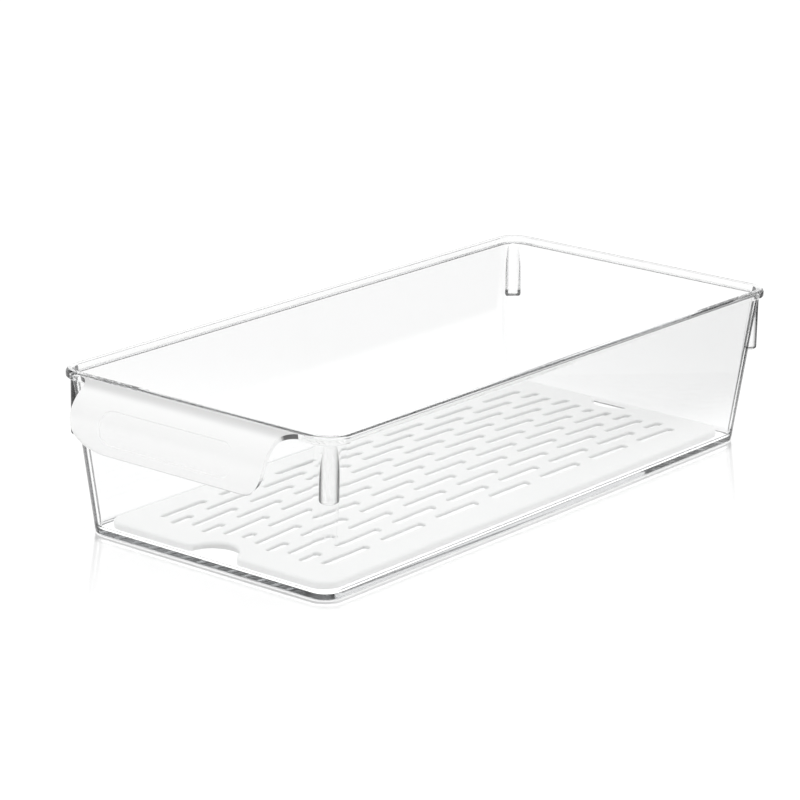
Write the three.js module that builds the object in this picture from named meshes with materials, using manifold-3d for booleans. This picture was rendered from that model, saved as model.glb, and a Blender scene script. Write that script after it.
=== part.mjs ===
// Fridge storage bin: a clear moulded bin with drafted walls, a beaded rim, four corner pegs and a
// bent grip lip, and a white crowned drain tray that lifts out. Millimetres, +Z up, the lip at -Y,
// the origin in the middle of the standing face.
import * as THREE from 'three';
import { mergeVertices } from 'three/addons/utils/BufferGeometryUtils.js';
import Module from 'manifold-3d';

const wasm = await Module();
wasm.setup();

// Bin: outside of the rim, and outside of the walls where they stand
const rimLength = 356.2;
const rimWidth = 170.7;
const binHeight = 81.5;
const baseLength = 334.5;
const baseWidth = 150;
const topCornerRadius = 11;
const baseCornerRadius = 10;

// Bin: walls, floor and rim bead
const wallThickness = 1.8;
const floorThickness = 2.2;
const baseRound = 0.8;
const floorRound = 3;
const rimOverhang = 2.3;
const rimDepth = 4.2;
const rimTopRound = 1.8;
const rimUnderRound = 1.2;
const rimFillet = 1;
const rimInnerRound = 0.6;

// Corner pegs: upright, touching the wall's corner under the rim and standing clear of it lower down
const pegRadius = 4.6;
const pegLength = 28.6;
const pegRound = 1.6;

// Grip lip: leaves the rim level, bends over and down, and hooks back towards the wall
const lipWidth = 118.6;
const lipThickness = 2.4;
const lipBendRadius = 18.5;
const lipBendAngle = THREE.MathUtils.degToRad(130);
const lipCornerRadius = 19.5;
const lipFlareRadius = 10;
const lipDrop = 0.5;
const lipSetback = 1.4;

// Shallow recess on the lip's face
const recessWidth = 80.6;
const recessHeight = 17.2;
const recessFromRim = 17;
const recessDepth = 0.6;
const recessCornerRadius = 11;

// Drain tray
const trayClearance = 2.2;
const trayRestGap = 0.3;
const trayEdgeHeight = 3.6;
const trayCrown = 4.3;
const trayPlate = 1.5;
const traySkirt = 1.6;
const trayRound = 1.4;
const trayCornerRadius = 9;

// Finger notches in the tray's short edges: a round bite with rounded lead-ins, and the skirt under
// it set back from the plate's edge
const notchRadius = 12.5;
const notchLeadRadius = 6.5;
const notchSetback = 1.2;

// Drain slots, in brick rows along the tray
const slotLength = 33;
const slotWidth = 4;
const slotPitch = 41.7;
const slotRowPitch = 10;
const slotSideMargin = 16;
const slotEndMargin = 15.3;
const slotNotchMargin = 8.5;
const slotLeastLength = 8;

// Overrun of every cutting tool past the face it opens, and the least corner radius a ring may shrink to
const overrun = 2;
const leastCorner = 0.4;

// Corners nearer than this share of the least corner are one corner
const weldShare = 0.001;

// Facets of corners, edge rounds, pegs and the lip, and spans along straight sides
const cornerSteps = 8;
const roundSteps = 4;
const pegSides = 24;
const flareSteps = 6;
const lipCornerSteps = 12;
const lipSideSpans = 5;
const recessSideSpans = 3;
const traySpansX = 2;
const traySpansY = 6;
const quarter = Math.PI / 2;

// A loft through closed rings of equally many points, with each end closed by strips across the ring
function loft(rings) {
  const count = rings[0].length;
  const points = rings.flat().flatMap((p) => [p.x, p.y, p.z]);
  const faces = [];
  const quad = (a, b, c, d) => faces.push(a, b, c, a, c, d);
  for (let i = 0; i < rings.length - 1; i += 1) {
    for (let k = 0; k < count; k += 1) {
      const next = (k + 1) % count;
      quad(i * count + k, i * count + next, (i + 1) * count + next, (i + 1) * count + k);
    }
  }
  const last = (rings.length - 1) * count;
  for (let k = 0; k < count / 2 - 1; k += 1) {
    quad(k, count - 1 - k, count - 2 - k, k + 1);
    quad(last + k, last + k + 1, last + count - 2 - k, last + count - 1 - k);
  }
  const geometry = new THREE.BufferGeometry();
  geometry.setAttribute('position', new THREE.Float32BufferAttribute(points, 3));
  geometry.setIndex(faces);
  return solid(geometry);
}

// A closed geometry as a solid for joining and cutting
function solid(geometry) {
  geometry.deleteAttribute('normal');
  geometry.deleteAttribute('uv');
  const merged = mergeVertices(geometry, leastCorner * weldShare);
  return new wasm.Manifold(new wasm.Mesh({
    numProp: 3,
    vertProperties: new Float32Array(merged.attributes.position.array),
    triVerts: new Uint32Array(merged.index.array),
  }));
}

function prism(outline, low, high, turn = 0) {
  const shape = new THREE.Shape(outline);
  const geometry = new THREE.ExtrudeGeometry(shape, { depth: high - low, bevelEnabled: false });
  return solid(geometry.translate(0, 0, low).rotateZ(turn));
}

function toMesh(name, body, material) {
  const { vertProperties, triVerts } = body.getMesh();
  const geometry = new THREE.BufferGeometry();
  geometry.setAttribute('position', new THREE.BufferAttribute(new Float32Array(vertProperties), 3));
  geometry.setIndex(new THREE.BufferAttribute(new Uint32Array(triVerts), 1));
  geometry.computeVertexNormals();
  const mesh = new THREE.Mesh(geometry, material);
  mesh.name = name;
  return mesh;
}

function arc(centreX, centreY, radius, from, to, steps) {
  return Array.from({ length: steps + 1 }, (_, i) => {
    const angle = THREE.MathUtils.lerp(from, to, i / steps);
    return new THREE.Vector2(centreX + radius * Math.cos(angle), centreY + radius * Math.sin(angle));
  });
}

// The points that cut a straight side into spans, without its two ends
function between(from, to, spans) {
  return Array.from({ length: spans - 1 }, (_, i) => from.clone().lerp(to, (i + 1) / spans));
}

// A rectangle with round corners, anticlockwise, with its straight sides cut into spans
function roundedRectangle(halfX, halfY, radius, steps = cornerSteps, spansX = 1, spansY = 1) {
  const r = Math.max(radius, leastCorner);
  const corners = [[1, -1], [1, 1], [-1, 1], [-1, -1]];
  const outline = [];
  corners.forEach(([sideX, sideY], i) => {
    const start = (i - 1) * quarter;
    outline.push(...arc(sideX * (halfX - r), sideY * (halfY - r), r, start, start + quarter, steps));
    const spans = i % 2 ? spansX : spansY;
    const [nextX, nextY] = corners[(i + 1) % corners.length];
    const from = outline[outline.length - 1];
    const to = i % 2
      ? new THREE.Vector2(nextX * (halfX - r), nextY * halfY)
      : new THREE.Vector2(nextX * halfX, nextY * (halfY - r));
    outline.push(...between(from, to, spans));
  });
  return outline;
}

// Bin walls
const wallTopX = rimWidth / 2 - rimOverhang;
const wallTopY = rimLength / 2 - rimOverhang;

function wallHalf(height) {
  const rise = height / binHeight;
  return {
    x: THREE.MathUtils.lerp(baseWidth / 2, wallTopX, rise),
    y: THREE.MathUtils.lerp(baseLength / 2, wallTopY, rise),
    radius: THREE.MathUtils.lerp(baseCornerRadius, topCornerRadius, rise),
  };
}

// A ring of the wall at a height, moved in from its outside face
function wallRing([height, inset]) {
  const { x, y, radius } = wallHalf(height);
  return roundedRectangle(x - inset, y - inset, radius - inset)
    .map((p) => new THREE.Vector3(p.x, p.y, height));
}

// A ring of the upright rim bead, moved in from its outside face
function rimRing([height, inset]) {
  const radius = topCornerRadius + rimOverhang - inset;
  return roundedRectangle(rimWidth / 2 - inset, rimLength / 2 - inset, radius)
    .map((p) => new THREE.Vector3(p.x, p.y, height));
}

// Stations [height, inset] round a quarter circle about a centre
function roundStations(centreHeight, centreInset, radius, from, to) {
  return arc(centreInset, centreHeight, radius, from, to, roundSteps).map((p) => [p.y, p.x]);
}

function binBlock() {
  const underRim = binHeight - rimDepth;
  const underRound = Math.min(rimUnderRound, rimDepth / 2);
  const topRound = Math.min(rimTopRound, rimDepth / 2);
  const wall = [
    ...roundStations(baseRound, baseRound, baseRound, -quarter, -2 * quarter),
    ...roundStations(underRim - rimFillet, -rimFillet, rimFillet, 0, quarter),
  ];
  const bead = [
    ...roundStations(underRim + underRound, underRound, underRound, -quarter, -2 * quarter),
    ...roundStations(binHeight - topRound, topRound, topRound, 2 * quarter, quarter),
  ];
  return loft([...wall.map(wallRing), ...bead.map(rimRing)]);
}

function binCavity() {
  const floorInset = wallThickness + floorRound;
  const mouthInset = wallThickness - rimInnerRound;
  return loft([
    ...roundStations(floorThickness + floorRound, floorInset, floorRound, -quarter, -2 * quarter),
    ...roundStations(binHeight - rimInnerRound, mouthInset, rimInnerRound, 0, quarter),
    [binHeight + overrun, mouthInset - rimInnerRound],
  ].map(wallRing));
}

// Corner pegs
function cornerPegs() {
  const cornerX = wallTopX - topCornerRadius;
  const cornerY = wallTopY - topCornerRadius;
  const reach = (topCornerRadius - pegRadius) * Math.SQRT1_2;
  const top = binHeight - rimDepth / 2;
  const bottom = binHeight - rimDepth - pegLength;
  const profile = [
    new THREE.Vector2(0, bottom),
    ...arc(pegRadius - pegRound, bottom + pegRound, pegRound, -quarter, 0, roundSteps),
    new THREE.Vector2(pegRadius, top),
    new THREE.Vector2(0, top),
  ];
  const places = [[1, -1], [1, 1], [-1, 1], [-1, -1]];
  return places.map(([sideX, sideY]) => {
    const peg = new THREE.LatheGeometry(profile, pegSides).rotateX(quarter);
    peg.translate(sideX * (cornerX + reach), sideY * (cornerY + reach), 0);
    return solid(peg);
  });
}

// Grip lip: a point at a distance along the bend's outer face and a height over its middle surface
function onLip(across, along, lift) {
  const angle = Math.max(along, 0) / lipBendRadius;
  const radius = lipBendRadius - lipThickness / 2 + lift;
  const out = radius * Math.sin(angle) + Math.min(along, 0) - lipSetback;
  const centreHeight = binHeight - lipDrop - lipBendRadius;
  return new THREE.Vector3(across, -rimLength / 2 - out, centreHeight + radius * Math.cos(angle));
}

// Rows [half width, distance] of the lip's outline, moved in by an inset
function lipRows(inset) {
  const half = lipWidth / 2 - inset;
  const flare = lipFlareRadius + inset;
  const corner = lipCornerRadius - inset;
  const length = lipBendRadius * lipBendAngle - inset;
  const root = -(rimOverhang + wallThickness / 2 - lipSetback);
  const flareRows = arc(half + flare, lipSetback + flare, flare, -quarter, -2 * quarter, flareSteps);
  const cornerRows = arc(half - corner, length - corner, corner, 0, quarter, lipCornerSteps);
  const sideRows = between(flareRows[flareRows.length - 1], cornerRows[0], lipSideSpans);
  return [new THREE.Vector2(half + flare, root), ...flareRows, ...sideRows, ...cornerRows];
}

function gripLip() {
  const layers = arc(0, 0, lipThickness / 2, -quarter, quarter, roundSteps);
  const outlines = layers.map((p) => lipRows(lipThickness / 2 - p.x));
  return loft(outlines[0].map((_, i) => {
    const right = layers.map((p, j) => onLip(outlines[j][i].x, outlines[j][i].y, p.y));
    const left = layers.map((p, j) => onLip(-outlines[j][i].x, outlines[j][i].y, p.y)).reverse();
    return [...right, ...left];
  }));
}

function lipRecess() {
  const half = recessWidth / 2;
  const end = recessFromRim + recessHeight;
  const radius = recessCornerRadius;
  const corner = arc(half - radius, end - radius, radius, 0, quarter, cornerSteps);
  const start = new THREE.Vector2(half, recessFromRim);
  const rows = [start, ...between(start, corner[0], recessSideSpans), ...corner];
  const low = lipThickness / 2 - recessDepth;
  const high = lipThickness / 2 + overrun;
  return loft(rows.map(({ x, y }) => [
    onLip(x, y, low), onLip(x, y, high), onLip(-x, y, high), onLip(-x, y, low),
  ]));
}

function binBody() {
  return [...cornerPegs(), gripLip()]
    .reduce((body, piece) => body.add(piece), binBlock())
    .subtract(lipRecess())
    .subtract(binCavity());
}

// Drain tray, sized to the flat of the bin's floor
const floorHalf = wallHalf(floorThickness);
const trayHalfX = floorHalf.x - wallThickness - floorRound - trayClearance;
const trayHalfY = floorHalf.y - wallThickness - floorRound - trayClearance;
const trayBottom = floorThickness + trayRestGap;
const trayTop = trayBottom + trayEdgeHeight;

// Height of the crown over the tray's border
function crownAt(x, y) {
  const shareX = Math.min(Math.abs(x) / (trayHalfX - trayRound), 1);
  const shareY = Math.min(Math.abs(y) / (trayHalfY - trayRound), 1);
  return trayCrown * (1 - shareX ** 2) * (1 - shareY ** 2);
}

function trayRing(inset, height) {
  const halfX = trayHalfX - inset;
  const halfY = trayHalfY - inset;
  return roundedRectangle(halfX, halfY, trayCornerRadius - inset, cornerSteps / 2, traySpansX, traySpansY)
    .map((p) => new THREE.Vector3(p.x, p.y, height));
}

// Rings drawn in towards the middle over the crown, at a depth under its surface
function crownRings(ring, depth) {
  const crownShares = [1, 0.82, 0.52, 0.16];
  return crownShares.map((share) => ring.map(({ x, y }) => (
    new THREE.Vector3(x * share, y * share, trayTop - depth + crownAt(x * share, y * share))
  )));
}

function trayBlock() {
  const round = arc(trayRound, trayTop - trayRound, trayRound, 2 * quarter, quarter, roundSteps);
  const edge = round.slice(0, -1).map((p) => trayRing(p.x, p.y));
  return loft([trayRing(0, trayBottom), ...edge, ...crownRings(trayRing(trayRound, trayTop), 0)]);
}

function trayHollow() {
  const ring = trayRing(traySkirt, trayBottom - overrun);
  return loft([ring, ...crownRings(ring, trayPlate)]);
}

// Half the width of a finger notch where its lead-ins meet the tray's edge
const notchHalf = Math.sqrt((notchRadius + notchLeadRadius) ** 2 - notchLeadRadius ** 2);

// The finger notch in the plate's edge at -Y, with rounded lead-in corners
function notchOutline() {
  const tilt = Math.atan2(notchLeadRadius, notchHalf);
  const leadY = notchLeadRadius - trayHalfY;
  const rightLead = arc(notchHalf, leadY, notchLeadRadius, -quarter, tilt - 2 * quarter, roundSteps);
  const bowl = arc(0, -trayHalfY, notchRadius, tilt, 2 * quarter - tilt, 2 * cornerSteps);
  const leftLead = rightLead.map((p) => new THREE.Vector2(-p.x, p.y)).reverse();
  return [
    new THREE.Vector2(-notchHalf, -trayHalfY - overrun),
    new THREE.Vector2(notchHalf, -trayHalfY - overrun),
    ...rightLead,
    ...bowl.slice(1, -1),
    ...leftLead,
  ];
}

// The plain arc that the skirt follows round the notch, at a distance from the plate's edge
function skirtOutline(distance) {
  const half = notchHalf + distance - notchSetback;
  const depth = notchRadius + distance;
  const radius = (half ** 2 + depth ** 2) / (2 * depth);
  const tilt = Math.atan2(radius - depth, half);
  return [
    new THREE.Vector2(-half, -trayHalfY - overrun),
    new THREE.Vector2(half, -trayHalfY - overrun),
    ...arc(0, depth - radius - trayHalfY, radius, tilt, 2 * quarter - tilt, 2 * cornerSteps),
  ];
}

// A notch's tool up to a height, turned to the short edge that it is for
function notchTool(outline, top, turn) {
  return prism(outline, trayBottom - overrun, top, turn);
}

// Slots of one row: full ones on the brick pattern, clipped where the pattern ends
function slotRow(row) {
  const x = row * slotRowPitch;
  const notchReach = Math.sqrt(Math.max((notchRadius + slotNotchMargin) ** 2 - x ** 2, 0));
  const patternHalf = trayHalfY - Math.max(slotEndMargin, notchReach);
  const shift = row % 2 ? 0 : slotPitch / 2;
  const count = Math.ceil(patternHalf / slotPitch);
  const spans = [];
  for (let k = -count - 1; k <= count; k += 1) {
    const middle = k * slotPitch + shift;
    const from = Math.max(middle - slotLength / 2, -patternHalf);
    const to = Math.min(middle + slotLength / 2, patternHalf);
    if (to - from >= Math.max(slotLeastLength, slotWidth)) spans.push([x, from, to]);
  }
  return spans;
}

function slotTool([x, from, to]) {
  const radius = slotWidth / 2;
  const outline = [
    ...arc(x, to - radius, radius, 0, 2 * quarter, roundSteps),
    ...arc(x, from + radius, radius, 2 * quarter, 4 * quarter, roundSteps),
  ];
  return prism(outline, trayBottom, trayTop + trayCrown + overrun);
}

function trayBody() {
  const rows = Math.floor((trayHalfX - slotSideMargin) / slotRowPitch);
  const slots = [];
  for (let row = -rows; row <= rows; row += 1) slots.push(...slotRow(row).map(slotTool));
  const turns = [0, 2 * quarter];
  const clear = trayTop + trayCrown + overrun;
  const hollow = turns.reduce(
    (body, turn) => body.subtract(notchTool(skirtOutline(notchSetback + traySkirt), clear, turn)),
    trayHollow(),
  );
  const notches = turns.flatMap((turn) => [
    notchTool(notchOutline(), clear, turn),
    notchTool(skirtOutline(notchSetback), trayTop - trayPlate, turn),
  ]);
  return [hollow, ...notches, ...slots].reduce((body, tool) => body.subtract(tool), trayBlock());
}

const clearPlastic = new THREE.MeshStandardMaterial({
  color: 0xf3f7f7, roughness: 0.06, metalness: 0, transparent: true, opacity: 0.3,
});
const whitePlastic = new THREE.MeshStandardMaterial({ color: 0xf4f4f2, roughness: 0.45, metalness: 0 });

const group = new THREE.Group();
group.add(toMesh('bin', binBody(), clearPlastic));
group.add(toMesh('drain_tray', trayBody(), whitePlastic));

export default group;
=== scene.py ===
import math

import bmesh
import bpy
from mathutils import Matrix, Vector


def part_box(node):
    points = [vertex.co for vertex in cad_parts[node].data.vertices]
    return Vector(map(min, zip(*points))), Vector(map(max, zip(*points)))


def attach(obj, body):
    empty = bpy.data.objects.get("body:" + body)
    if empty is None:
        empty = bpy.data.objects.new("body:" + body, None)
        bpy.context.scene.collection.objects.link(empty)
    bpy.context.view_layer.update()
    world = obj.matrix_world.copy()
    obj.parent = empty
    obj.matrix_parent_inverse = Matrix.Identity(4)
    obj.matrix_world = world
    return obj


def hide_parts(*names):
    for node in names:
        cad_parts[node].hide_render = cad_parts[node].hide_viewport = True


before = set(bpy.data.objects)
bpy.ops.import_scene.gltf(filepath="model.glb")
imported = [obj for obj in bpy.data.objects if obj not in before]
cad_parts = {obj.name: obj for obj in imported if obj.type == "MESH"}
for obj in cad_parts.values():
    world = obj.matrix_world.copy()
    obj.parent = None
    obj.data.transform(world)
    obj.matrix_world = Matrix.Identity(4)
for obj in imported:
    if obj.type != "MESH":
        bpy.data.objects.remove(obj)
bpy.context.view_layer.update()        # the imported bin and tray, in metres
quarter = math.pi / 2
print("Frame loaded")


# Camera, fitted to the corners of the rim and the base in the photograph
cameraView = {
    "azimuth": math.radians(38.53),     # from the grip end towards +X
    "elevation": math.radians(16.93),
    "roll": math.radians(1.11),
    "distance": 1.7218,
    "aimAcross": -0.01395,              # of the point looked at, along the picture's own axes
    "aimUp": 0.04111,
    "lens": 154.76,                     # and the sensor's width, in millimetres
    "sensor": 36.0,
    "clipEnd": 50.0,
}


def addCamera(view):
    azimuth, elevation = view["azimuth"], view["elevation"]
    back = Vector((
        math.sin(azimuth) * math.cos(elevation),
        -math.cos(azimuth) * math.cos(elevation),
        math.sin(elevation),
    ))
    right = Vector((math.cos(azimuth), math.sin(azimuth), 0))
    up = back.cross(right)
    rolledRight = right * math.cos(view["roll"]) + up * math.sin(view["roll"])
    rolledUp = back.cross(rolledRight)
    place = rolledRight * view["aimAcross"] + rolledUp * view["aimUp"] + back * view["distance"]
    bpy.ops.object.camera_add(location=(0, 0, 0))
    camera = bpy.context.active_object
    camera.name = "photoCamera"
    camera.matrix_world = Matrix((
        (rolledRight.x, rolledUp.x, back.x, place.x),
        (rolledRight.y, rolledUp.y, back.y, place.y),
        (rolledRight.z, rolledUp.z, back.z, place.z),
        (0, 0, 0, 1),
    ))
    camera.data.lens = view["lens"]
    camera.data.sensor_width = view["sensor"]
    camera.data.clip_end = view["clipEnd"]
    bpy.context.scene.camera = camera


bpy.ops.object.select_all(action="DESELECT")
addCamera(cameraView)
print("Camera placed")


# Modelling helpers: each works on the active object, as by hand
tiny = 1e-6                             # metres, under which two places count as one
levelShare = 0.99                       # of a unit normal along Z, from which a face counts as level
smoothAngle = math.radians(32)          # between faces, up to which an edge is smooth


def selectParts(piece, kind, test):
    # kind is verts, edges or faces; test gets the middle of the part, and of a face its normal too
    bpy.ops.mesh.select_all(action="DESELECT")
    mesh = bmesh.from_edit_mesh(piece.data)
    for part in getattr(mesh, kind):
        if kind == "faces":
            wanted = test(part.calc_center_median(), part.normal)
        elif kind == "edges":
            wanted = test(*[corner.co for corner in part.verts])
        else:
            wanted = test(part.co)
        part.select_set(bool(wanted))
    mesh.select_flush_mode()
    bmesh.update_edit_mesh(piece.data)


def startSlab(name, halfX, halfY, low, high, cornerRadius, cornerSteps):
    # A cube at its size and place, with its upright edges rounded, left in edit mode
    bpy.ops.object.select_all(action="DESELECT")
    bpy.ops.mesh.primitive_cube_add(
        size=1, location=(0, 0, (low + high) / 2), scale=(2 * halfX, 2 * halfY, high - low)
    )
    slab = bpy.context.active_object
    slab.name = name
    bpy.ops.object.transform_apply(location=True, rotation=True, scale=True)
    bpy.ops.object.mode_set(mode="EDIT")
    bpy.ops.mesh.select_mode(type="EDGE")
    selectParts(slab, "edges", lambda a, b: abs(a.z - b.z) > (high - low) / 2)
    if cornerRadius > 0:
        bpy.ops.mesh.bevel(offset=cornerRadius, segments=cornerSteps, affect="EDGES", clamp_overlap=False)
    bpy.ops.mesh.select_mode(type="FACE")
    return slab


def addRound(name, radius, place, low, high, sides):
    # An upright cylinder, left in object mode
    bpy.ops.object.select_all(action="DESELECT")
    bpy.ops.mesh.primitive_cylinder_add(
        vertices=sides, radius=radius, depth=high - low, location=(place[0], place[1], (low + high) / 2)
    )
    post = bpy.context.active_object
    post.name = name
    bpy.ops.object.transform_apply(location=True, rotation=True, scale=True)
    return post


def selectEnd(slab, side):
    # The flat face at the top (side 1) or the bottom (side -1)
    bpy.ops.mesh.select_mode(type="FACE")
    mesh = bmesh.from_edit_mesh(slab.data)
    ends = [face for face in mesh.faces if face.normal.z * side > levelShare]
    end = max(ends, key=lambda face: face.calc_center_median().z * side)
    selectParts(slab, "faces", lambda middle, normal: (middle - end.calc_center_median()).length < tiny)


def roundInto(radius, steps, hollow=False):
    # Steps the selected end inwards along a quarter circle, bulging or hollow
    for step in range(steps):
        start, stop = quarter * step / steps, quarter * (step + 1) / steps
        flat = radius * (math.cos(start) - math.cos(stop))
        steep = radius * (math.sin(stop) - math.sin(start))
        inset, rise = (steep, flat) if hollow else (flat, steep)
        bpy.ops.mesh.inset(thickness=inset, depth=rise, use_even_offset=True)


def extrudeTapered(rise, shareX=1.0, shareY=1.0):
    # Draws the selected end out along Z, and brings it to these shares of its width about the Z axis
    bpy.ops.mesh.extrude_region_move(TRANSFORM_OT_translate={"value": (0, 0, rise)})
    bpy.ops.transform.resize(value=(shareX, shareY, 1), center_override=(0, 0, 0))


def leaveEdit():
    bpy.ops.mesh.select_all(action="SELECT")
    bpy.ops.mesh.normals_make_consistent(inside=False)
    bpy.ops.object.mode_set(mode="OBJECT")


def pick(piece):
    bpy.ops.object.select_all(action="DESELECT")
    piece.select_set(True)
    bpy.context.view_layer.objects.active = piece


def cutEvenly(piece, axis, places):
    # Bisects the whole mesh across one axis, so that it can bend there
    normal = [1.0 if index == axis else 0.0 for index in range(3)]
    pick(piece)
    bpy.ops.object.mode_set(mode="EDIT")
    for place in places:
        point = [place if index == axis else 0.0 for index in range(3)]
        bpy.ops.mesh.select_all(action="SELECT")
        bpy.ops.mesh.bisect(plane_co=point, plane_no=normal)
    bpy.ops.object.mode_set(mode="OBJECT")


def applyModifier(piece, kind, **settings):
    pick(piece)
    modifier = piece.modifiers.new(kind.title(), kind)
    for name, value in settings.items():
        setattr(modifier, name, value)
    bpy.ops.object.modifier_apply(modifier=modifier.name)


def combine(piece, tool, operation):
    applyModifier(piece, "BOOLEAN", operation=operation, object=tool, solver="EXACT")
    bpy.data.objects.remove(tool)


def turnAbout(piece, axis, angle):
    pick(piece)
    piece.rotation_euler = [angle if index == axis else 0.0 for index in range(3)]
    bpy.ops.object.transform_apply(location=True, rotation=True, scale=True)


def moveTo(piece, place):
    pick(piece)
    piece.location = place
    bpy.ops.object.transform_apply(location=True, rotation=True, scale=True)


def copyOf(piece, place):
    pick(piece)
    bpy.ops.object.duplicate()
    copy = bpy.context.active_object
    moveTo(copy, place)
    return copy


def joinAll(pieces, name):
    pick(pieces[0])
    for piece in pieces[1:]:
        piece.select_set(True)
    bpy.ops.object.join()
    joined = bpy.context.active_object
    joined.name = name
    return joined


def finishShading(piece):
    # Large flat faces keep their own normals, and the rounds between them are smooth
    pick(piece)
    bpy.ops.object.mode_set(mode="EDIT")
    bpy.ops.mesh.select_all(action="SELECT")
    bpy.ops.mesh.remove_doubles(threshold=tiny)
    bpy.ops.object.mode_set(mode="OBJECT")
    bpy.ops.object.shade_smooth_by_angle(angle=smoothAngle)
    applyModifier(piece, "WEIGHTED_NORMAL", keep_sharp=True, weight=100)


# Bin: one clear moulding, in metres, with its middle on the Z axis
binShape = {
    "rimHalfX": 0.08535,
    "rimHalfY": 0.1781,
    "rimCorner": 0.0133,
    "height": 0.0815,
    "rimDepth": 0.0042,
    "rimTopRound": 0.0018,
    "rimUnderRound": 0.0012,
    "rimFillet": 0.001,
    "wallTopX": 0.08305,        # where the drafted walls would meet the rim's top
    "wallTopY": 0.1758,
    "wallBaseX": 0.075,
    "wallBaseY": 0.16725,
    "wall": 0.0018,
    "floor": 0.0022,
    "baseRound": 0.0008,
    "floorRound": 0.003,
    "mouthRound": 0.0006,       # round the rim's inner edge
    "overrun": 0.01,            # of the cavity's tool over the rim
    "innerCornerGrowth": 0.00042,   # the wall thickens a little into its corners
    "cornerSteps": 24,
    "roundSteps": 8,
}


def wallHalf(shape, height):
    # Half the walls' outer width and length at this height
    share = height / shape["height"]
    return (
        shape["wallBaseX"] + (shape["wallTopX"] - shape["wallBaseX"]) * share,
        shape["wallBaseY"] + (shape["wallTopY"] - shape["wallBaseY"]) * share,
    )


def addBinBlock(shape):
    # The rim bead is a slab; its top face rounds over, its underside steps in and runs down as walls
    top, bead, fillet = shape["height"], shape["rimDepth"], shape["rimFillet"]
    block = startSlab(
        "clearBin", shape["rimHalfX"], shape["rimHalfY"], top - bead + shape["rimUnderRound"],
        top - shape["rimTopRound"], shape["rimCorner"], shape["cornerSteps"],
    )
    selectEnd(block, 1)
    roundInto(shape["rimTopRound"], shape["roundSteps"])
    selectEnd(block, -1)
    roundInto(shape["rimUnderRound"], shape["roundSteps"])
    upperX, upperY = wallHalf(shape, top - bead - fillet)
    lowerX, lowerY = wallHalf(shape, shape["baseRound"])
    bpy.ops.mesh.inset(thickness=shape["rimHalfX"] - shape["rimUnderRound"] - fillet - upperX, depth=0)
    roundInto(fillet, shape["roundSteps"], hollow=True)
    extrudeTapered(shape["baseRound"] - top + bead + fillet, lowerX / upperX, lowerY / upperY)
    roundInto(shape["baseRound"], shape["roundSteps"])
    leaveEdit()
    return block


def addCavity(shape):
    # The room inside: it widens into the rim's inner edge, and rounds into the floor
    top, mouth = shape["height"], shape["mouthRound"]
    inset = shape["wall"] - mouth
    cavity = startSlab(
        "cavityTool", shape["wallTopX"] - inset, shape["wallTopY"] - inset, top, top + shape["overrun"],
        shape["rimCorner"] - (shape["rimHalfX"] - shape["wallTopX"]) - inset + shape["innerCornerGrowth"],
        shape["cornerSteps"],
    )
    selectEnd(cavity, -1)
    roundInto(mouth, shape["roundSteps"], hollow=True)
    floorTop = shape["floor"] + shape["floorRound"]
    upper = [half - shape["wall"] for half in wallHalf(shape, top - mouth)]
    lower = [half - shape["wall"] for half in wallHalf(shape, floorTop)]
    extrudeTapered(floorTop - top + mouth, lower[0] / upper[0], lower[1] / upper[1])
    roundInto(shape["floorRound"], shape["roundSteps"])
    leaveEdit()
    return cavity


# Corner pegs: solid posts under the rim's corners
pegShape = {"radius": 0.0046, "length": 0.0286, "round": 0.0016, "sides": 64, "steps": 6}


def pegPlace(shape, peg):
    # Middle of the peg in the corner towards +X and +Y, where its side meets the wall's round corner
    corner = shape["rimCorner"] - (shape["rimHalfX"] - shape["wallTopX"])
    inset = corner - (corner - peg["radius"]) * math.sqrt(0.5)
    return shape["wallTopX"] - inset, shape["wallTopY"] - inset


def addPegs(shape, peg):
    low = shape["height"] - shape["rimDepth"] - peg["length"]
    high = shape["height"] - shape["rimDepth"] / 2
    first = addRound("pegFirst", peg["radius"], (0, 0), low, high, peg["sides"])
    bpy.ops.object.mode_set(mode="EDIT")
    bpy.ops.mesh.select_mode(type="EDGE")
    selectParts(first, "edges", lambda a, b: max(a.z, b.z) < low + tiny)
    bpy.ops.mesh.bevel(offset=peg["round"], segments=peg["steps"], affect="EDGES")
    leaveEdit()
    x, y = pegPlace(shape, peg)
    pegs = [copyOf(first, (sideX * x, sideY * y, 0)) for sideX in (-1, 1) for sideY in (-1, 1)]
    bpy.data.objects.remove(first)
    return joinAll(pegs, "pegTool")


# Grip lip: a flat plate with flared root and round corners, bent over afterwards
lipShape = {
    "halfWidth": 0.0593,
    "thickness": 0.0024,
    "bendRadius": 0.0185,
    "bendAngle": math.radians(130),
    "corner": 0.0195,
    "flare": 0.010,
    "flareShare": 0.999,        # of the flare that is rounded, so that the round stops short of its end
    "drop": 0.0005,             # of the lip's upper face below the rim's top
    "setback": 0.0014,          # of the bend's start behind the rim's front
    "edgeRound": 0.00112,
    "edgeAngle": math.radians(60),
    "flatAngle": 0.01,          # under which neighbouring faces are merged
    "steps": 14,
    "edgeSteps": 6,
    "bends": 52,
    "recessHalf": 0.0403,
    "recessStart": 0.017,
    "recessEnd": 0.0342,
    "recessDepth": 0.0006,
    "recessCorner": 0.0066,
}


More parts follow.
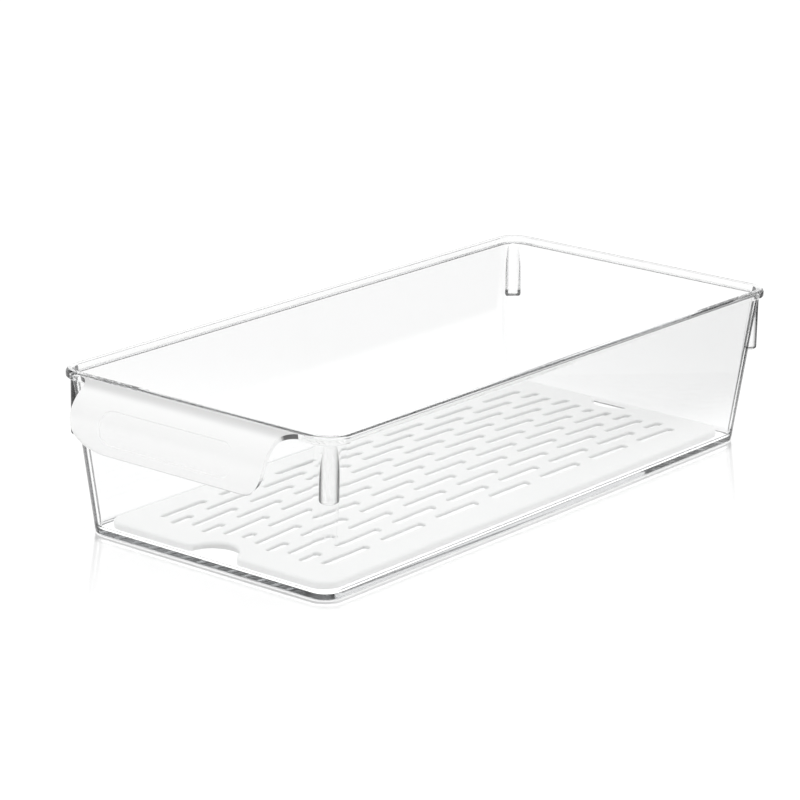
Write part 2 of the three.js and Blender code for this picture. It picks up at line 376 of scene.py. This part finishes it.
def addLip(shape, lip):
    # Along Y from where the bend starts, root lies inside the wall and flareY at the rim's front
    length = lip["bendRadius"] * lip["bendAngle"]
    root = shape["rimHalfX"] - shape["wallTopX"] + shape["wall"] / 2 - lip["setback"]
    flareY = -lip["setback"]
    wide = lip["halfWidth"] + lip["flare"]
    # A strip along the rim, with its middle drawn out to the free end
    bpy.ops.object.select_all(action="DESELECT")
    bpy.ops.mesh.primitive_plane_add(size=1, location=(0, (root + flareY) / 2, 0))
    plate = bpy.context.active_object
    plate.name = "lipTool"
    plate.scale = (2 * wide, root - flareY, 1)
    bpy.ops.object.transform_apply(location=True, rotation=True, scale=True)
    cutEvenly(plate, 0, [-lip["halfWidth"], lip["halfWidth"]])
    bpy.ops.object.mode_set(mode="EDIT")
    bpy.ops.mesh.select_mode(type="EDGE")
    selectParts(plate, "edges", lambda a, b: max(a.y, b.y) < flareY + tiny and abs(a.x + b.x) < tiny)
    bpy.ops.mesh.extrude_region_move(TRANSFORM_OT_translate={"value": (0, -length - flareY, 0)})
    bpy.ops.mesh.select_all(action="SELECT")
    bpy.ops.mesh.dissolve_limited(angle_limit=lip["flatAngle"])
    bpy.ops.mesh.select_mode(type="VERT")
    selectParts(plate, "verts", lambda v: abs(v.y + length) < tiny)
    bpy.ops.mesh.bevel(offset=lip["corner"], segments=lip["steps"], affect="VERTICES")
    selectParts(
        plate, "verts", lambda v: abs(v.y - flareY) < tiny and abs(abs(v.x) - lip["halfWidth"]) < tiny
    )
    bpy.ops.mesh.bevel(offset=lip["flare"] * lip["flareShare"], segments=lip["steps"], affect="VERTICES")
    bpy.ops.mesh.select_all(action="SELECT")
    bpy.ops.mesh.extrude_region_move(TRANSFORM_OT_translate={"value": (0, 0, -lip["thickness"])})
    leaveEdit()
    applyModifier(
        plate, "BEVEL", limit_method="ANGLE", angle_limit=lip["edgeAngle"], width=lip["edgeRound"],
        segments=lip["edgeSteps"],
    )
    combine(plate, addRecess(lip), "DIFFERENCE")
    cutEvenly(plate, 1, [-length * share / lip["bends"] for share in range(lip["bends"])])
    turnAbout(plate, 0, quarter)
    applyModifier(
        plate, "SIMPLE_DEFORM", deform_method="BEND", deform_axis="X", angle=lip["bendAngle"],
        limits=(0, length / (length + root)),
    )
    turnAbout(plate, 0, -quarter)
    moveTo(plate, (0, lip["setback"] - shape["rimHalfY"], shape["height"] - lip["drop"]))
    return plate


def addRecess(lip):
    # The shallow rounded field in the middle of the lip, cut while the plate is flat
    middle = -(lip["recessStart"] + lip["recessEnd"]) / 2
    halfY = (lip["recessEnd"] - lip["recessStart"]) / 2
    tool = startSlab(
        "recessTool", lip["recessHalf"], halfY, 0, lip["thickness"], lip["recessCorner"], lip["steps"],
    )
    selectEnd(tool, -1)
    roundInto(lip["recessDepth"], lip["edgeSteps"])
    leaveEdit()
    moveTo(tool, (0, middle, 0))
    return tool


binPiece = addBinBlock(binShape)
combine(binPiece, addPegs(binShape, pegShape), "UNION")
print("Bin block and pegs modelled")
combine(binPiece, addLip(binShape, lipShape), "UNION")
combine(binPiece, addCavity(binShape), "DIFFERENCE")
finishShading(binPiece)
print("Bin modelled with", len(binPiece.data.polygons), "faces")


# Drain tray
trayLow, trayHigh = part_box("drain_tray")
trayShape = {
    "halfX": trayHigh.x,
    "halfY": trayHigh.y,
    "bottom": trayLow.z,
    "edgeHeight": 0.0036,
    "crown": 0.0043,            # rise of the middle over the edges
    "plate": 0.0018,
    "skirt": 0.0016,
    "round": 0.0014,
    "corner": 0.009,
    "cornerSteps": 12,
    "roundSteps": 6,
    "cutSpacing": 0.010,        # of the cuts that let the plate follow the crown
    "notchRadius": 0.0125,
    "notchLead": 0.0065,        # radius of the corners that lead into the notch
    "notchSetback": 0.0012,     # of the skirt behind the plate's edge there
    "notchFlare": 0.0012,       # rounding of the notch's mouth
    "notchSides": 96,
    "slotLength": 0.0326,
    "slotWidth": 0.0043,
    "slotPitch": 0.0417,
    "slotRowPitch": 0.010,
    "slotSideMargin": 0.016,    # from the outer rows to the tray's sides
    "slotEndMargin": 0.0153,    # from the pattern's ends to the tray's, and to the notches
    "slotNotchMargin": 0.0085,
    "slotLeast": 0.008,         # a shorter slot at the pattern's end is left out
    "slotFlare": 0.0009,        # rounding of the slot's mouth
    "slotSteps": 4,
    "slotCornerShare": 0.9,     # of the mouth's half width, so that its rounds don't meet
    "slotCornerSteps": 10,
    "slotStretch": 1.02,        # a hair longer than wide, before it is drawn out
}


def slotPlaces(tray):
    # Middle and ends of each slot on the brick pattern, clipped where the pattern ends
    places = []
    rows = int((tray["halfX"] - tray["slotSideMargin"]) / tray["slotRowPitch"])
    for row in range(-rows, rows + 1):
        x = row * tray["slotRowPitch"]
        clear = tray["notchRadius"] + tray["slotNotchMargin"]
        notchReach = math.sqrt(max(clear ** 2 - x ** 2, 0))
        end = tray["halfY"] - max(tray["slotEndMargin"], notchReach)
        shift = 0 if row % 2 else tray["slotPitch"] / 2
        count = math.ceil(end / tray["slotPitch"])
        for index in range(-count - 1, count + 1):
            middle = index * tray["slotPitch"] + shift
            low = max(middle - tray["slotLength"] / 2, -end)
            high = min(middle + tray["slotLength"] / 2, end)
            if high - low >= tray["slotLeast"]:
                places.append((x, low, high))
    return places


def addSlotTool(tray):
    # One slot with a rounded mouth, copied and drawn out to each slot's length
    half = tray["slotWidth"] / 2 + tray["slotFlare"]
    top = tray["bottom"] + tray["edgeHeight"]
    first = startSlab(
        "slotFirst", half, half * tray["slotStretch"], top, top + tray["plate"],
        half * tray["slotCornerShare"], tray["slotCornerSteps"],
    )
    selectEnd(first, -1)
    roundInto(tray["slotFlare"], tray["slotSteps"], hollow=True)
    extrudeTapered(-tray["plate"] * 2)
    leaveEdit()
    slots = []
    for x, low, high in slotPlaces(tray):
        slot = copyOf(first, (x, 0, 0))
        for corner in slot.data.vertices:
            corner.co.y += (high - half) if corner.co.y > 0 else (low + half)
        slots.append(slot)
    bpy.data.objects.remove(first)
    return joinAll(slots, "slotTool")


def atBothEnds(tool):
    other = copyOf(tool, (0, 0, 0))
    turnAbout(other, 2, 2 * quarter)
    return joinAll([tool, other], tool.name)


def addNotchBites(tray):
    # The round bite with a rounded mouth: its wide end lies on the plate, and is drawn down from there
    flare = tray["notchFlare"]
    top = tray["bottom"] + tray["edgeHeight"]
    bite = addRound(
        "notchTool", tray["notchRadius"] + flare, (0, -tray["halfY"]), top, top + tray["plate"],
        tray["notchSides"],
    )
    bpy.ops.object.mode_set(mode="EDIT")
    selectEnd(bite, -1)
    roundInto(flare, tray["slotSteps"], hollow=True)
    extrudeTapered(-2 * tray["edgeHeight"])
    leaveEdit()
    return atBothEnds(bite)


def addNotchMouths(tray):
    # Beside the bite a plain block less two round posts leaves the lead-in corners, rounded on top
    flare, lead, radius = tray["notchFlare"], tray["notchLead"], tray["notchRadius"]
    half = math.sqrt((radius + lead) ** 2 - lead ** 2)
    meet = lead * radius / (radius + lead)          # how far in the bite meets the lead-ins
    low = tray["bottom"] - tray["plate"]
    top = tray["bottom"] + tray["edgeHeight"]
    mouth = startSlab("mouthTool", half, (meet + lead) / 2, low, top + tray["plate"], 0, 1)
    leaveEdit()
    moveTo(mouth, (0, (meet - lead) / 2 - tray["halfY"], 0))
    for side in (-1, 1):
        place = (side * half, lead - tray["halfY"])
        post = addRound("leadTool", lead, place, low - tray["plate"], top - flare, tray["notchSides"])
        bpy.ops.object.mode_set(mode="EDIT")
        selectEnd(post, 1)
        roundInto(flare, tray["slotSteps"])
        extrudeTapered(2 * tray["plate"])
        leaveEdit()
        combine(mouth, post, "DIFFERENCE")
    return atBothEnds(mouth)


def addSkirtBites(tray, distance, high):
    # The skirt runs round behind the notch, at a distance from the plate's edge
    tool = addRound(
        "biteTool", tray["notchRadius"] + distance, (0, -tray["halfY"]), tray["bottom"] - tray["skirt"], high,
        2 * tray["notchSides"],
    )
    return atBothEnds(tool)


def addTray(tray):
    bottom, top = tray["bottom"], tray["bottom"] + tray["edgeHeight"]
    plate = startSlab(
        "drainTray", tray["halfX"], tray["halfY"], bottom, top - tray["round"], tray["corner"],
        tray["cornerSteps"],
    )
    selectEnd(plate, 1)
    roundInto(tray["round"], tray["roundSteps"])
    leaveEdit()
    inset = tray["skirt"]
    hollow = startSlab(
        "hollowTool", tray["halfX"] - inset, tray["halfY"] - inset, bottom - tray["plate"],
        top - tray["plate"], tray["corner"] - inset, tray["cornerSteps"],
    )
    leaveEdit()
    for axis, half in ((0, tray["halfX"]), (1, tray["halfY"])):
        count = int(half / tray["cutSpacing"])
        places = [(index + 0.5) * tray["cutSpacing"] for index in range(-count - 1, count + 1)]
        cutEvenly(plate, axis, places)
        cutEvenly(hollow, axis, places)
    combine(hollow, addSkirtBites(tray, tray["notchSetback"] + tray["skirt"], top), "DIFFERENCE")
    combine(plate, hollow, "DIFFERENCE")
    combine(plate, addSkirtBites(tray, tray["notchSetback"], top - tray["plate"]), "DIFFERENCE")
    combine(plate, addNotchBites(tray), "DIFFERENCE")
    combine(plate, addNotchMouths(tray), "DIFFERENCE")
    combine(plate, addSlotTool(tray), "DIFFERENCE")
    flatX, flatY = tray["halfX"] - tray["round"], tray["halfY"] - tray["round"]
    for corner in plate.data.vertices:      # the crown lifts all but the skirt's foot
        if corner.co.z > bottom + tiny:
            shareX = min(abs(corner.co.x) / flatX, 1)
            shareY = min(abs(corner.co.y) / flatY, 1)
            corner.co.z += tray["crown"] * (1 - shareX ** 2) * (1 - shareY ** 2)
    return plate


trayPiece = addTray(trayShape)
finishShading(trayPiece)
print("Tray modelled with", len(trayPiece.data.polygons), "faces")


# Materials
def newMaterial(name):
    material = bpy.data.materials.new(name)
    material.use_nodes = True
    nodes = material.node_tree.nodes
    return material, nodes, material.node_tree.links, nodes["Principled BSDF"]


def addMath(nodes, links, operation, first, second=None, third=None):
    # Each value is a number or another node's output
    node = nodes.new("ShaderNodeMath")
    node.operation = operation
    for socket, value in zip(node.inputs, (first, second, third)):
        if hasattr(value, "is_linked"):
            links.new(value, socket)
        elif value is not None:
            socket.default_value = value
    return node.outputs[0]


def mapRange(nodes, links, value, fromRange, toRange):
    node = nodes.new("ShaderNodeMapRange")
    node.interpolation_type = "SMOOTHSTEP"
    links.new(value, node.inputs["Value"])
    for name, number in zip(("From Min", "From Max", "To Min", "To Max"), (*fromRange, *toRange)):
        node.inputs[name].default_value = number
    return node.outputs[0]


def splitPlace(nodes, links, kind):
    # The parts along X, Y and Z of one of the texture coordinates
    split = nodes.new("ShaderNodeSeparateXYZ")
    links.new(nodes.new("ShaderNodeTexCoord").outputs[kind], split.inputs[0])
    return split.outputs


def pastHalf(nodes, links, value, half):
    # How far a place along one axis lies outside plus or minus half
    return addMath(nodes, links, "SUBTRACT", addMath(nodes, links, "ABSOLUTE", value), half)


def lengthOf(nodes, links, first, second):
    squares = [addMath(nodes, links, "MULTIPLY", part, part) for part in (first, second)]
    return addMath(nodes, links, "SQRT", addMath(nodes, links, "ADD", *squares))


def mixColours(nodes, links, share, first, second):
    mix = nodes.new("ShaderNodeMix")
    mix.data_type = "RGBA"
    links.new(share, mix.inputs[0])
    mix.inputs[6].default_value = first         # sockets 6 and 7 are the two colours
    mix.inputs[7].default_value = second
    return mix.outputs[2]


# What a look calls each input of the moulded finish
finishSockets = {
    "waveSize": "Wave Size",
    "waveHeight": "Wave Height",
    "grainSize": "Grain Size",
    "grainHeight": "Grain Height",
    "roughness": "Roughness",
    "spread": "Spread",
}


def makeMouldedFinish():
    # Roughness and normal of a moulded surface: soft flow waves and fine grain, heights in metres
    group = bpy.data.node_groups.new("mouldedFinish", "ShaderNodeTree")
    face = group.interface
    for socket in finishSockets.values():
        face.new_socket(socket, in_out="INPUT", socket_type="NodeSocketFloat")
    face.new_socket("Roughness", in_out="OUTPUT", socket_type="NodeSocketFloat")
    face.new_socket("Normal", in_out="OUTPUT", socket_type="NodeSocketVector")
    nodes, links = group.nodes, group.links
    given = nodes.new("NodeGroupInput").outputs
    taken = nodes.new("NodeGroupOutput").inputs
    place = nodes.new("ShaderNodeTexCoord").outputs["Object"]
    waves = nodes.new("ShaderNodeTexNoise")
    grain = nodes.new("ShaderNodeTexNoise")
    waves.inputs["Detail"].default_value = 1
    grain.inputs["Detail"].default_value = 3
    for noise, size in ((waves, "Wave Size"), (grain, "Grain Size")):
        links.new(place, noise.inputs["Vector"])
        links.new(given[size], noise.inputs["Scale"])
    offCentre = addMath(nodes, links, "SUBTRACT", grain.outputs["Fac"], 0.5)
    spread = addMath(nodes, links, "MULTIPLY_ADD", offCentre, given["Spread"], given["Roughness"])
    links.new(spread, taken["Roughness"])
    fine = addMath(nodes, links, "MULTIPLY", grain.outputs["Fac"], given["Grain Height"])
    height = addMath(nodes, links, "MULTIPLY_ADD", waves.outputs["Fac"], given["Wave Height"], fine)
    bump = nodes.new("ShaderNodeBump")
    bump.inputs["Distance"].default_value = 1
    links.new(height, bump.inputs["Height"])
    links.new(bump.outputs["Normal"], taken["Normal"])
    return group


mouldedFinish = makeMouldedFinish()


def addFinish(nodes, links, plastic, look):
    # What the look doesn't give stays 0
    finish = nodes.new("ShaderNodeGroup")
    finish.node_tree = mouldedFinish
    for name, socket in finishSockets.items():
        finish.inputs[socket].default_value = look.get(name, 0.0)
    links.new(finish.outputs["Roughness"], plastic.inputs["Roughness"])
    links.new(finish.outputs["Normal"], plastic.inputs["Normal"])
    return finish


# The bin's clear plastic
clearLook = {
    "colour": (0.965, 0.967, 0.967, 1),
    "paintedEdgeShade": (0.03, 0.03, 0.031, 1),   # painted shade where the corners and pegs turn away
    "edgeTurn": (0.03, 0.15),   # of twice the product of a normal's X and Y, which is 1 on a diagonal
    "edgeFacing": (0.41, 0.48),     # of the way from facing the eye to edge on
    "edgeLevel": (0.4, 0.8),    # of a normal's part along Z, over which the tint ends
    "pegFacing": (0.12, 0.5),
    "pegRoughness": 0.15,
    "pegReach": 0.00012,        # how near to a peg's own radius still counts as its side
    "ior": 1.57,
    "density": 3.0,
    "tint": (0.38, 0.4, 0.42, 1),
    "waveSize": 30.0,           # waves and grains to the metre, and their heights in metres
    "waveHeight": 2e-6,
    "grainSize": 1400.0,
}


def maskPegs(nodes, links, shape, peg, look):
    # 1 on the pegs' round sides
    place = splitPlace(nodes, links, "Object")
    away = [pastHalf(nodes, links, value, middle) for value, middle in zip(place, pegPlace(shape, peg))]
    side = addMath(nodes, links, "COMPARE", lengthOf(nodes, links, *away), peg["radius"], look["pegReach"])
    below = addMath(nodes, links, "LESS_THAN", place[2], shape["height"] - shape["rimDepth"])
    return addMath(nodes, links, "MULTIPLY", side, below)


def finishClear(nodes, links, surface):
    # Shadows and soft light pass straight through the plastic, so that the tray stays white
    path = nodes.new("ShaderNodeLightPath")
    for kind in ("Is Shadow Ray", "Is Diffuse Ray"):
        through = nodes.new("ShaderNodeBsdfTransparent")
        mix = nodes.new("ShaderNodeMixShader")
        links.new(path.outputs[kind], mix.inputs[0])
        links.new(surface, mix.inputs[1])
        links.new(through.outputs[0], mix.inputs[2])
        surface = mix.outputs[0]
    links.new(surface, nodes["Material Output"].inputs["Surface"])


def paintEdgeShade(nodes, links, plastic, pegs, look):
    # Painted shade: the base colour of the corners and pegs darkens where their upright sides turn away from
    # the eye
    x, y, z = splitPlace(nodes, links, "Normal")
    product = addMath(nodes, links, "MULTIPLY", addMath(nodes, links, "MULTIPLY", x, y), 2.0)
    diagonal = addMath(nodes, links, "ABSOLUTE", product)
    turned = mapRange(nodes, links, diagonal, look["edgeTurn"], (0, 1))
    level = mapRange(nodes, links, addMath(nodes, links, "ABSOLUTE", z), look["edgeLevel"], (1, 0))
    weight = nodes.new("ShaderNodeLayerWeight").outputs["Facing"]
    seenEdge = mapRange(nodes, links, weight, look["edgeFacing"], (0, 1))
    seenPeg = mapRange(nodes, links, weight, look["pegFacing"], (0, 1))
    edges = addMath(nodes, links, "MULTIPLY", turned, seenEdge)
    sides = addMath(nodes, links, "MULTIPLY", pegs, seenPeg)
    share = addMath(nodes, links, "MULTIPLY", level, addMath(nodes, links, "MAXIMUM", edges, sides))
    edgeShaded = mixColours(nodes, links, share, look["colour"], look["paintedEdgeShade"])
    links.new(edgeShaded, plastic.inputs["Base Color"])


def makeClearPlastic(look, shape, peg):
    material, nodes, links, plastic = newMaterial("clearPlastic")
    pegs = maskPegs(nodes, links, shape, peg, look)
    paintEdgeShade(nodes, links, plastic, pegs, look)
    plastic.inputs["Transmission Weight"].default_value = 1
    plastic.inputs["IOR"].default_value = look["ior"]
    finish = addFinish(nodes, links, plastic, look)
    links.new(addMath(nodes, links, "MULTIPLY", pegs, look["pegRoughness"]), finish.inputs["Roughness"])
    finishClear(nodes, links, plastic.outputs[0])
    body = nodes.new("ShaderNodeVolumeAbsorption")      # the plastic dims what runs a long way in it
    body.inputs["Color"].default_value = look["tint"]
    body.inputs["Density"].default_value = look["density"]
    links.new(body.outputs[0], nodes["Material Output"].inputs["Volume"])
    return material


# The grip lip's milky satin finish, with painted shade along its edges and root
frostLook = {
    "colour": (0.985, 0.987, 0.985, 1),
    # painted shade on the lip's sides, free end and the up-facing faces where it leaves the rim
    "paintedEdgeShade": (0.14, 0.14, 0.142, 1),
    "edgeShine": (0.5, 0.0),    # Specular IOR Level on the faces, and at the edges
    "start": -0.1786,           # metres along Y, just in front of the rim
    "through": 0.15,            # share of the light that passes it
    "roughness": 0.25,
    "spread": 0.1,              # of the roughness over the grain
    "sideEdge": (0.05, 0.25),   # of the normal's part along X, where the plate's sides begin
    "sideMiddle": (0.8, 0.97),
    "endEdge": (-0.6, -0.65),   # of its part along Z, at the free end
    "root": (0.84, 0.99),       # and where the lip leaves the rim
    "rootShare": 0.33,
    "edgeReach": (0.041, 0.044),    # metres along X, past the recess
    "waveSize": 45.0,
    "waveHeight": 4e-6,
    "grainSize": 1400.0,
    "grainHeight": 2e-6,
}


def makeFrostedPlastic(look, clear):
    material, nodes, links, plastic = newMaterial("frostedPlastic")
    normal = splitPlace(nodes, links, "Normal")
    across = addMath(nodes, links, "ABSOLUTE", splitPlace(nodes, links, "Object")[0])
    sideways = addMath(nodes, links, "ABSOLUTE", normal[0])
    side = addMath(
        nodes, links, "MULTIPLY", mapRange(nodes, links, sideways, look["sideEdge"], (0, 1)),
        mapRange(nodes, links, sideways, look["sideMiddle"], (1, 0)),
    )
    side = addMath(nodes, links, "MULTIPLY", side, mapRange(nodes, links, across, look["edgeReach"], (0, 1)))
    end = mapRange(nodes, links, normal[2], look["endEdge"], (0, 1))
    root = mapRange(nodes, links, normal[2], look["root"], (0, look["rootShare"]))
    edge = addMath(nodes, links, "MAXIMUM", addMath(nodes, links, "MAXIMUM", side, end), root)
    # Painted shade: the base colour darkens along the lip's sides and free end, and up to a third on faces
    # turned up where it leaves the rim; there the edges also lose their shine
    edgeShaded = mixColours(nodes, links, edge, look["colour"], look["paintedEdgeShade"])
    links.new(edgeShaded, plastic.inputs["Base Color"])
    links.new(mapRange(nodes, links, edge, (0, 1), look["edgeShine"]), plastic.inputs["Specular IOR Level"])
    plastic.inputs["Transmission Weight"].default_value = look["through"]
    plastic.inputs["IOR"].default_value = clear["ior"]
    addFinish(nodes, links, plastic, look)
    finishClear(nodes, links, plastic.outputs[0])
    return material


def frostLip(piece, look, material):
    # The faces in front of the rim take the frosted plastic
    piece.data.materials.append(material)
    for face in piece.data.polygons:
        if face.center.y < look["start"]:
            face.material_index = 1


# The tray's satin white plastic
whiteLook = {
    "colour": (0.9, 0.905, 0.9, 1),
    "roughness": 0.38,
    "spread": 0.12,
    "waveSize": 60.0,
    "waveHeight": 5e-6,
    "grainSize": 1600.0,
    "grainHeight": 1.5e-6,
}


def makeWhitePlastic(look):
    material, nodes, links, plastic = newMaterial("whitePlastic")
    plastic.inputs["Base Color"].default_value = look["colour"]
    addFinish(nodes, links, plastic, look)
    return material


def dress(piece, material, node, body):
    piece.data.materials.clear()
    piece.data.materials.append(material)
    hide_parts(node)
    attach(piece, body)


dress(binPiece, makeClearPlastic(clearLook, binShape, pegShape), "bin", "bin")
frostLip(binPiece, frostLook, makeFrostedPlastic(frostLook, clearLook))
dress(trayPiece, makeWhitePlastic(whiteLook), "drain_tray", "tray")
print("Materials made")


# Studio: a white glossy table in a white room, with a bright wall behind and dim ones beside the camera
studio = {
    "tableSize": 12.0,
    "tableDrop": 0.0002,        # a hair of air, so that the floor's underside reflects
    "tableColour": (0.96, 0.96, 0.96, 1),
    "tableRoughness": 0.12,
    "tableGloss": 0.9,
    "tableMirror": 0.4,
    "tableGlow": 1.1,
    "glowFoot": 0.05,           # share of the glow in what the camera sees, at the bin's foot
    "foot": (0.004, 0.010),     # metres from it, over which this share ends
    "glowNear": 0.45,           # share beside the bin, and far from it
    "glowFar": 1.0,
    "fade": (0.0, 0.13),
    "glowThrough": 0.95,        # share seen through the plastic
    "underGlow": 1.5,           # the glow itself under the bin
    "underReach": 0.0001,       # metres past the bin's outline that still count as under it
    "rightSide": (0.08, 0.12),  # metres along X, over which the mirrored table grows dim
    "rightAlong": (-0.06, 0.3),     # and along Y
    "rightLevel": 0.15,
    "backWay": (-0.623, 0.782, 0.0),    # away from the camera
    "backEdge": (0.0, 0.2),     # of a direction's part that way, where the bright wall behind begins
    "backTop": (0.35, 0.62),    # and its height above the horizon, over which that wall ends
    "backLevel": 1.0,
    "sideLevel": 0.04,
    "topLevel": 0.15,
    "topEdge": (0.6, 0.9),      # the same height, where the ceiling begins
    "horizon": (0.06, 0.14),    # and where the white horizon ends
    "diffuseLevel": 1.2,        # of the soft light from behind
    "diffuseFront": 0.92,       # and from the camera's side
    "diffuseEdge": (-0.9, 0.1),
    "bounces": 96,              # light runs a long way inside the clear walls
}


def addTable(room, shape):
    # It glows white for the camera and in glass, fading to its own lit surface near the bin's foot
    bpy.ops.object.select_all(action="DESELECT")
    bpy.ops.mesh.primitive_plane_add(size=room["tableSize"], location=(0, 0, -room["tableDrop"]))
    table = bpy.context.active_object
    table.name = "table"
    bpy.ops.object.transform_apply(location=True, rotation=True, scale=True)
    material, nodes, links, surface = newMaterial("tableWhite")
    surface.inputs["Base Color"].default_value = room["tableColour"]
    surface.inputs["Roughness"].default_value = room["tableRoughness"]
    surface.inputs["Specular IOR Level"].default_value = room["tableGloss"]
    surface.inputs["Metallic"].default_value = room["tableMirror"]
    x, y = splitPlace(nodes, links, "Object")[:2]
    outside = [
        addMath(nodes, links, "MAXIMUM", pastHalf(nodes, links, value, half), 0.0)
        for value, half in ((x, shape["wallBaseX"]), (y, shape["wallBaseY"]))
    ]
    distance = lengthOf(nodes, links, *outside)
    path = nodes.new("ShaderNodeLightPath").outputs
    foot = mapRange(nodes, links, distance, room["foot"], (room["glowFoot"], 1))
    shown = mapRange(nodes, links, distance, room["fade"], (room["glowNear"], room["glowFar"]))
    shown = addMath(nodes, links, "MULTIPLY", foot, shown)
    direct = addMath(nodes, links, "MULTIPLY", path["Is Camera Ray"], shown)
    through = addMath(nodes, links, "MULTIPLY", path["Is Transmission Ray"], room["glowThrough"])
    glass = addMath(nodes, links, "MAXIMUM", through, path["Is Glossy Ray"])
    share = addMath(nodes, links, "MAXIMUM", direct, glass)
    right = mapRange(nodes, links, x, room["rightSide"], (1, room["rightLevel"]))
    along = mapRange(nodes, links, y, room["rightAlong"], (0, 1))
    lowered = addMath(nodes, links, "MULTIPLY", along, addMath(nodes, links, "SUBTRACT", 1.0, right))
    level = addMath(nodes, links, "MULTIPLY", path["Is Glossy Ray"], lowered)
    under = addMath(nodes, links, "LESS_THAN", distance, room["underReach"])
    more = addMath(nodes, links, "MULTIPLY", under, room["underGlow"] - room["tableGlow"])
    strength = addMath(nodes, links, "ADD", more, room["tableGlow"])
    strength = addMath(nodes, links, "MULTIPLY", strength, addMath(nodes, links, "SUBTRACT", 1.0, level))
    glow = nodes.new("ShaderNodeEmission")
    links.new(strength, glow.inputs["Strength"])
    mix = nodes.new("ShaderNodeMixShader")
    links.new(share, mix.inputs[0])
    links.new(surface.outputs[0], mix.inputs[1])
    links.new(glow.outputs[0], mix.inputs[2])
    links.new(mix.outputs[0], nodes["Material Output"].inputs["Surface"])
    table.data.materials.append(material)


def makeSurround(room):
    # What the plastic mirrors and what lights the tray differ: the camera itself sees plain white
    world = bpy.data.worlds.new("surround")
    bpy.context.scene.world = world
    world.use_nodes = True
    nodes, links = world.node_tree.nodes, world.node_tree.links
    sky = nodes["Background"]
    way = nodes.new("ShaderNodeTexCoord").outputs["Generated"]
    split = nodes.new("ShaderNodeSeparateXYZ")
    links.new(way, split.inputs[0])
    along = nodes.new("ShaderNodeVectorMath")
    along.operation = "DOT_PRODUCT"
    links.new(way, along.inputs[0])
    along.inputs[1].default_value = room["backWay"]
    behind, height = along.outputs["Value"], split.outputs["Z"]
    backWall = mapRange(nodes, links, behind, room["backEdge"], (0, room["backLevel"]))
    backFade = mapRange(nodes, links, height, room["backTop"], (1, room["topLevel"]))
    back = addMath(nodes, links, "MULTIPLY", backWall, backFade)
    horizon = mapRange(nodes, links, height, room["horizon"], (1, room["sideLevel"]))
    ceiling = mapRange(nodes, links, height, room["topEdge"], (0, room["topLevel"]))
    shown = addMath(nodes, links, "MAXIMUM", addMath(nodes, links, "MAXIMUM", back, horizon), ceiling)
    softRange = (room["diffuseFront"], room["diffuseLevel"])
    diffuse = mapRange(nodes, links, behind, room["diffuseEdge"], softRange)
    path = nodes.new("ShaderNodeLightPath").outputs
    sharp = addMath(nodes, links, "MAXIMUM", path["Is Glossy Ray"], path["Is Transmission Ray"])
    first = addMath(nodes, links, "LESS_THAN", path["Diffuse Depth"], 0.5)
    lit = nodes.new("ShaderNodeMix")
    links.new(addMath(nodes, links, "MULTIPLY", sharp, first), lit.inputs[0])
    links.new(diffuse, lit.inputs[2])
    links.new(shown, lit.inputs[3])
    final = nodes.new("ShaderNodeMix")
    links.new(path["Is Camera Ray"], final.inputs[0])
    links.new(lit.outputs[0], final.inputs[2])
    final.inputs[3].default_value = 1
    links.new(final.outputs[0], sky.inputs["Strength"])
    sky.inputs["Color"].default_value = (1, 1, 1, 1)


addTable(studio, binShape)
makeSurround(studio)
bpy.context.scene.view_settings.view_transform = "Standard"
for name in ("max_bounces", "transmission_bounces", "glossy_bounces"):
    setattr(bpy.context.scene.cycles, name, studio["bounces"])
print("Studio set")
